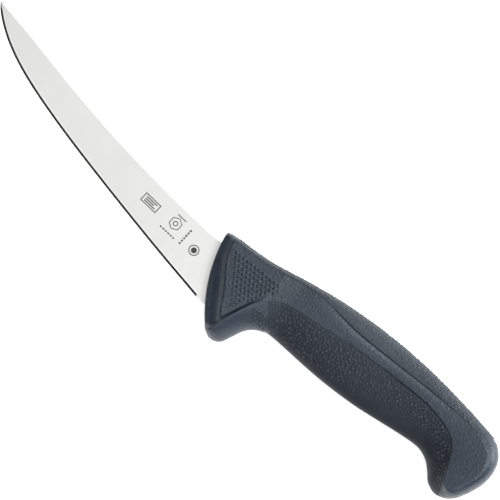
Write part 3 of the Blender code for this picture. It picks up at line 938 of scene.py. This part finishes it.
def spine_pebbles(u, s):
    """Pebbles cover the spine up to the smooth margin beside the seam."""
    from_seam = (1 - s) * width_between(u, spine_at, upper_at)
    margin = spine_margin(spine_at(u)[..., 0])
    return smoothstep(margin - MARGIN_FADE[0], margin + MARGIN_FADE[1], from_seam)


def belly_pebbles(u, s):
    """Pebbles cover the belly from the seam down, and fade before the middle."""
    reach = belly_reach(lower_at(u)[..., 0])
    fade = smoothstep(reach - REACH_FADE[0], reach + REACH_FADE[1], s)
    return smoothstep(*BELLY_START, s) * (1 - fade)


def make_spine_grip():
    return make_grip(
        "spine_grip_skin", SPINE, spine_pebbles, outward=(0, 1), pebbles=SPINE_PEBBLES,
        seed=11, rows=470, columns=56,
    )


def make_belly_grip():
    return make_grip(
        "belly_grip_skin", BELLY, belly_pebbles, outward=(0, -1), pebbles=BELLY_PEBBLES,
        seed=23, rows=440, columns=84,
    )


# ---------------------------------------------------------------- materials
# A painted dark reflection on the ground edge, standing in for the dark things the steel mirrors
# there
BEVEL_DARK_REFLECTION = (0.045, 0.045, 0.043)
# A painted highlight line beside the ground edge
SHINE_HIGHLIGHT = (1.0, 1.0, 0.99)
SPECULAR_TINT = (0.85, 0.93, 1.0, 1.0)
SPECK_GLINT_BRIGHTNESS = 1.6  # of the light specks, painted glints in the grain, times the lighter base colour
ROUGHNESS_SPREAD = 0.06
FLOOR_GLOW = 0.68


class Shading:
    """A Principled material whose node graph is built a few nodes at a time."""

    def __init__(self, name, **values):
        self.material = bpy.data.materials.new(name)
        self.material.use_nodes = True
        self.tree = self.material.node_tree
        self.shader = self.tree.nodes["Principled BSDF"]
        for socket, value in values.items():
            self.shader.inputs[socket.replace("_", " ")].default_value = value
        self.place = self.node("ShaderNodeTexCoord").outputs["Object"]

    def node(self, kind, **values):
        made = self.tree.nodes.new(kind)
        for key, value in values.items():
            setattr(made, key, value)
        return made

    def attribute(self, name):
        return self.node("ShaderNodeAttribute", attribute_name=name).outputs["Fac"]

    def link(self, source, target):
        self.tree.links.new(source, target)

    def noise(self, scale, detail=2.0, roughness=0.5, stretch=(1, 1, 1), turn=0.0):
        mapping = self.node("ShaderNodeMapping")
        mapping.inputs["Scale"].default_value = stretch
        mapping.inputs["Rotation"].default_value = (0, 0, turn)
        texture = self.node("ShaderNodeTexNoise")
        texture.inputs["Scale"].default_value = scale
        texture.inputs["Detail"].default_value = detail
        texture.inputs["Roughness"].default_value = roughness
        self.link(self.place, mapping.inputs["Vector"])
        self.link(mapping.outputs["Vector"], texture.inputs["Vector"])
        return texture.outputs["Fac"]

    def spread(self, source, low, high, start=0.35, end=0.65):
        """A noise turned into values from low to high."""
        made = self.node("ShaderNodeMapRange")
        made.inputs["From Min"].default_value = start
        made.inputs["From Max"].default_value = end
        made.inputs["To Min"].default_value = low
        made.inputs["To Max"].default_value = high
        self.link(source, made.inputs["Value"])
        return made.outputs["Result"]

    def blend(self, share, one, other):
        """A colour between two, which may be colours or sockets."""
        made = self.node("ShaderNodeMix", data_type="RGBA")
        self.link(share, made.inputs["Factor"])
        for name, value in (("A", one), ("B", other)):
            socket = next(i for i in made.inputs if i.name == name and i.type == "RGBA")
            if isinstance(value, tuple):
                socket.default_value = (*value, 1.0)
            else:
                self.link(value, socket)
        return next(o for o in made.outputs if o.type == "RGBA")

    def bump(self, height, distance, strength=1.0, under=None):
        made = self.node("ShaderNodeBump")
        made.inputs["Strength"].default_value = strength
        made.inputs["Distance"].default_value = distance
        self.link(height, made.inputs["Height"])
        if under is not None:
            self.link(under, made.inputs["Normal"])
        return made.outputs["Normal"]

    def use(self, **sockets):
        for name, source in sockets.items():
            self.link(source, self.shader.inputs[name.replace("_", " ")])
        return self.material


def steel():
    """Satin steel: fine grinding lines, a painted dark reflection on the ground edge and a painted
    highlight line beside it.
    """
    m = Shading("satin_steel", Metallic=1.0, Roughness=0.3)
    lines = m.noise(2600, 3, 0.6, stretch=(1, 0.035, 1), turn=0.06)
    broad = m.noise(26, 2)
    colour = m.blend(m.spread(broad, 0, 1), (0.87, 0.87, 0.856), (0.89, 0.89, 0.88))
    # The bevel strip gets a painted dark reflection, the shine strip a painted highlight line
    for strip, strip_colour in (("bevel", BEVEL_DARK_REFLECTION), ("shine", SHINE_HIGHLIGHT)):
        colour = m.blend(m.attribute(strip), colour, strip_colour)
    rough = m.spread(lines, 0.28, 0.33)
    return m.use(Base_Color=colour, Roughness=rough, Normal=m.bump(lines, 1e-6, 0.4))


def etched():
    """Marks etched dark into the steel."""
    m = Shading("etched_dark", Metallic=0.2)
    grain = m.noise(3000, 2)
    colour = m.blend(m.spread(grain, 0, 1), (0.03, 0.03, 0.028), (0.07, 0.07, 0.067))
    return m.use(Base_Color=colour, Roughness=m.spread(grain, 0.5, 0.7))


def moulded(name, dark, light, roughness, leather, fine, pebble_highlight=None, front=None):
    """Moulded plastic or rubber: a leathery unevenness over a fine spark-eroded grain, with light
    specks painted in as glints, and on the grips optional painted highlights on the pebble tops and
    a painted light at the front.
    """
    m = Shading(name, Metallic=0.0, Specular_Tint=SPECULAR_TINT)
    tone = m.noise(45, 3, 0.55)
    # Light specks painted into the grain as glints
    glint_speck = m.noise(1100, 2)
    bright = tuple(SPECK_GLINT_BRIGHTNESS * c for c in light)
    colour = m.blend(m.spread(tone, 0, 1), dark, light)
    colour = m.blend(m.spread(glint_speck, 0.0, 0.6, 0.45, 0.75), colour, bright)
    # A painted light at a grip's front
    if front:
        colour = m.blend(m.attribute("front"), colour, front)
    low, high = roughness - ROUGHNESS_SPREAD, roughness + ROUGHNESS_SPREAD
    rough = m.spread(m.noise(900, 3), low, high)
    # Painted highlights: the pebbles' tops are painted lighter, as if lit
    if pebble_highlight:
        top = m.spread(m.attribute("pebble"), 0, 1, 0.2, 0.9)
        colour = m.blend(top, colour, pebble_highlight)
    normal = m.bump(m.noise(1000, 2), leather)
    normal = m.bump(m.noise(5200, 2), fine, under=normal)
    return m.use(Base_Color=colour, Roughness=rough, Normal=normal)


def core_plastic():
    return moulded(
        "core_plastic", dark=(0.017, 0.024, 0.036), light=(0.024, 0.033, 0.048),
        roughness=0.37, leather=2.2e-4, fine=1.2e-5,
    )


# The spine and belly grips are one rubber in two copies: the spine's is painted lighter as painted
# light, the belly's darker as painted shade
def spine_rubber_painted_lit():
    return moulded(
        "spine_rubber_painted_lit", dark=(0.017, 0.023, 0.033), light=(0.024, 0.031, 0.044),
        roughness=0.55, leather=1e-4, fine=1.5e-5, pebble_highlight=(0.072, 0.077, 0.073),
    )


# The belly's copy of the rubber, painted darker as painted shade
def belly_rubber_painted_shade():
    return moulded(
        "belly_rubber_painted_shade", dark=(0.005, 0.008, 0.014), light=(0.009, 0.013, 0.021),
        roughness=0.54, leather=1e-4, fine=1.5e-5, pebble_highlight=(0.050, 0.057, 0.062),
        # the painted light at the grip's front, lighter than the rubber
        front=(0.016, 0.023, 0.035),
    )


def floor_material():
    """Matte white for the floor and the backdrop. Its faint glow keeps the shadow pale."""
    m = Shading("studio_floor", Emission_Color=(1, 1, 1, 1), Emission_Strength=FLOOR_GLOW)
    colour = m.blend(m.spread(m.noise(3, 2), 0, 1), (0.86, 0.86, 0.86), (0.89, 0.89, 0.89))
    return m.use(Base_Color=colour, Roughness=m.spread(m.noise(8, 2), 0.75, 0.85))


# ---------------------------------------------------------------- studio
VIEW_CENTRE = (151.4, -4.0, 0.0)
VIEW_WIDTH = 215.0
VIEW_TURN = 43.5
LENS, SENSOR = 300.0, 36.0
FLOOR_SIZE = 24.0
FLOOR_GAP = 0.00002
BACKDROP_RADIUS = 11.5
BACKDROP_HEIGHT = 1.2
BACKDROP_SIDES = 64
VIEW_END = 50.0
WORLD_LIGHT = 0.08
# Softboxes: name, side, azimuth, elevation, distance, power. Azimuth 0 is towards the butt and
# 90 towards the spine.
SOFTBOXES = [
    ("key_softbox", 1.2, 43.5, 58.0, 2.2, 30.0),
    ("fill_softbox", 1.2, -46.5, 50.0, 2.2, 12.0),
    ("side_softbox", 1.2, 88.5, 15.0, 2.2, 14.0),
    ("low_softbox", 1.2, 43.5, 8.0, 2.2, 44.0),
    ("top_softbox", 3.2, 0.0, 90.0, 2.6, 23.0),
]


def add_camera():
    data = bpy.data.cameras.new("camera")
    data.lens = LENS
    data.sensor_width = SENSOR
    data.clip_end = VIEW_END
    camera = bpy.data.objects.new("camera", data)
    bpy.context.scene.collection.objects.link(camera)
    distance = VIEW_WIDTH * MM * LENS / SENSOR
    camera.location = Vector(place(VIEW_CENTRE)) + Vector((0, 0, distance))
    camera.rotation_euler = (0, 0, math.radians(VIEW_TURN))
    bpy.context.scene.camera = camera


def add_softbox(name, size, azimuth, elevation, distance, power):
    """A square area light that faces the knife."""
    data = bpy.data.lights.new(name, "AREA")
    data.size = size
    data.energy = power
    light = bpy.data.objects.new(name, data)
    bpy.context.scene.collection.objects.link(light)
    a, e = math.radians(azimuth), math.radians(elevation)
    towards = Vector((math.cos(a) * math.cos(e), math.sin(a) * math.cos(e), math.sin(e)))
    light.location = towards * distance
    light.rotation_euler = towards.to_track_quat("Z", "Y").to_euler()
    light.visible_camera = False


def add_stage(bm, name, low, material):
    mesh = bpy.data.meshes.new(name)
    bm.to_mesh(mesh)
    bm.free()
    stage = add_object(mesh)
    stage.location.z = low - FLOOR_GAP
    stage.data.materials.append(material)
    stage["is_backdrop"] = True


def add_studio(low):
    material = floor_material()
    bm = bmesh.new()
    bmesh.ops.create_grid(bm, x_segments=1, y_segments=1, size=FLOOR_SIZE / 2)
    add_stage(bm, "floor", low, material)
    bm = bmesh.new()
    bmesh.ops.create_cone(
        bm, segments=BACKDROP_SIDES, radius1=BACKDROP_RADIUS, radius2=BACKDROP_RADIUS,
        depth=2 * BACKDROP_HEIGHT,
    )
    add_stage(bm, "backdrop", low, material)
    world = bpy.data.worlds.new("studio")
    world.use_nodes = True
    background = world.node_tree.nodes["Background"]
    background.inputs["Color"].default_value = (1.0, 1.0, 1.0, 1.0)
    background.inputs["Strength"].default_value = WORLD_LIGHT
    bpy.context.scene.world = world
    for softbox in SOFTBOXES:
        add_softbox(*softbox)
    bpy.context.scene.view_settings.view_transform = "Standard"


# ---------------------------------------------------------------- assembly
def dress(piece, node, material):
    piece.data.materials.clear()
    piece.data.materials.append(material)
    if node:
        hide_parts(node)
    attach(piece, "root")


blade = make_blade()
dress(blade, "blade", steel())
dress(make_marks(blade), None, etched())
dress(make_core(), "handle_core", core_plastic())
dress(make_spine_grip(), "spine_grip", spine_rubber_painted_lit())
dress(make_belly_grip(), "belly_grip", belly_rubber_painted_shade())

# The dots under the right pad reach lowest, and the floor lies just below them
add_studio(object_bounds()[0][2])
add_camera()
